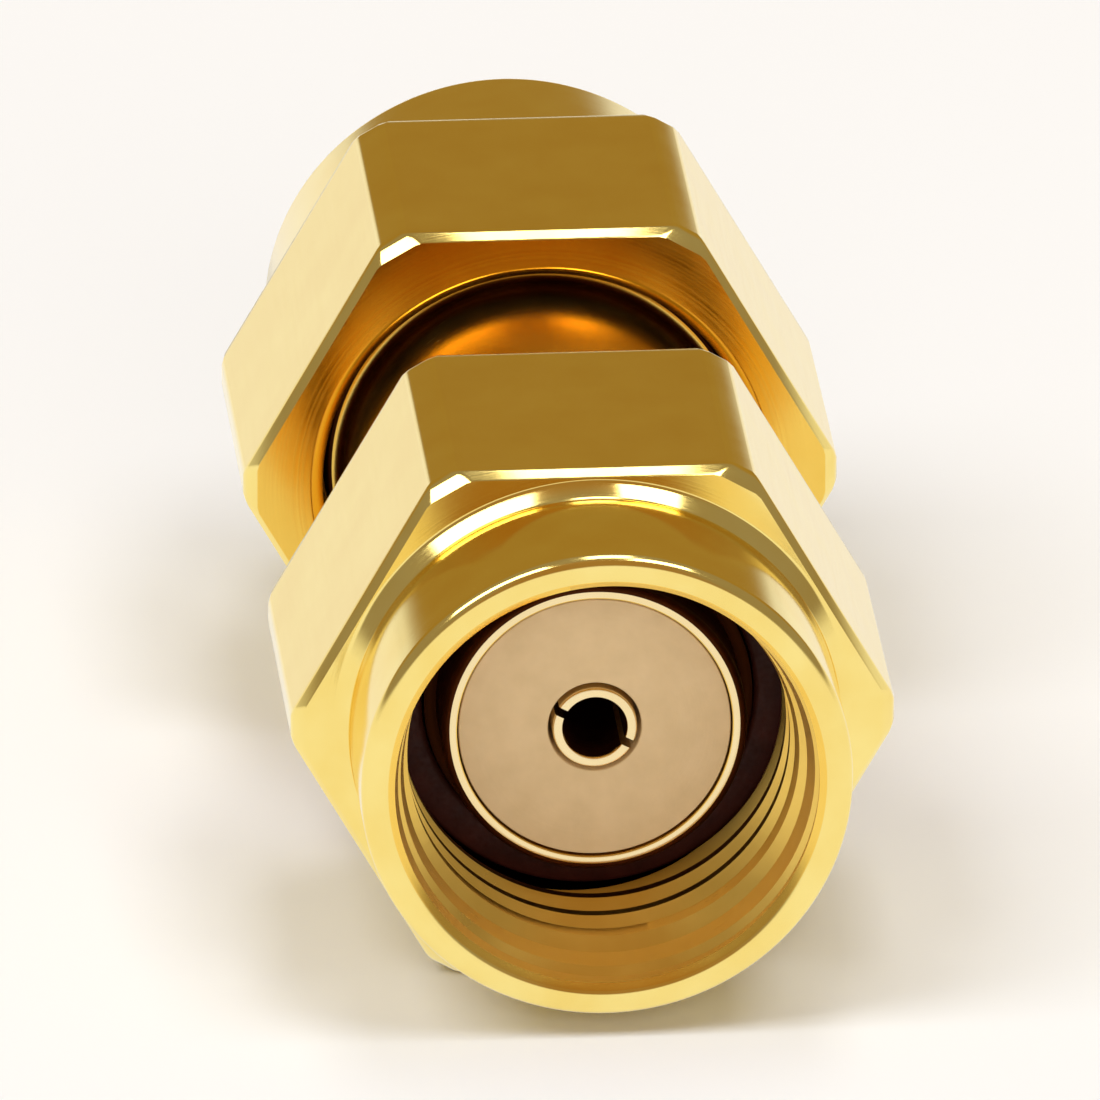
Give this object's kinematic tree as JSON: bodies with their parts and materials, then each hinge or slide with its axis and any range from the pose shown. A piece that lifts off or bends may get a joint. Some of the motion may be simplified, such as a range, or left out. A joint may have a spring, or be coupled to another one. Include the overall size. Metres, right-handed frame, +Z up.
{
  "type": "coax adapter",
  "caption": "Straight plug-to-plug coaxial adapter: turned body with a ferrule and slotted socket at each end and loose hex coupling nuts with internal thread.",
  "frame": {"origin": "middle of the adapter, on its axis", "axes": "+Y along the axis from the front plug to the rear plug, +Z up out of the nuts' upper flats, +X across the nuts' corners"},
  "size_m": [0.009, 0.0204, 0.008],
  "materials": {
    "nut_gold": "gold plated, semi-bright",
    "body_gold": "gold plated, turned",
    "contact_gold": "gold plated, bright",
    "ring_bronze": "spring bronze, bare",
    "insulator_beige": "matte fluoropolymer",
    "gasket_silicone": "matte silicone"
  },
  "bodies": {
    "body": {"body": "body_gold", "front_insulator": "insulator_beige", "rear_insulator": "insulator_beige", "centre_contact": "contact_gold", "front_gasket": "gasket_silicone", "rear_gasket": "gasket_silicone"},
    "front_ring": {"front_snap_ring": "ring_bronze"},
    "front_nut": {"front_nut": "nut_gold"},
    "rear_ring": {"rear_snap_ring": "ring_bronze"},
    "rear_nut": {"rear_nut": "nut_gold"}
  },
  "joints": [
    {"name": "front_nut_float", "type": "slide", "parent": "body", "child": "front_ring", "axis": [0, 1, 0], "range_m": [-0.00015, 0.00015]},
    {"name": "front_nut_spin", "type": "hinge", "parent": "front_ring", "child": "front_nut", "pos_m": [0, -0.0045, 0], "axis": [0, -1, 0], "continuous": true},
    {"name": "rear_nut_float", "type": "slide", "parent": "body", "child": "rear_ring", "axis": [0, 1, 0], "range_m": [-0.00015, 0.00015]},
    {"name": "rear_nut_spin", "type": "hinge", "parent": "rear_ring", "child": "rear_nut", "pos_m": [0, 0.0045, 0], "axis": [0, 1, 0], "continuous": true}
  ]
}
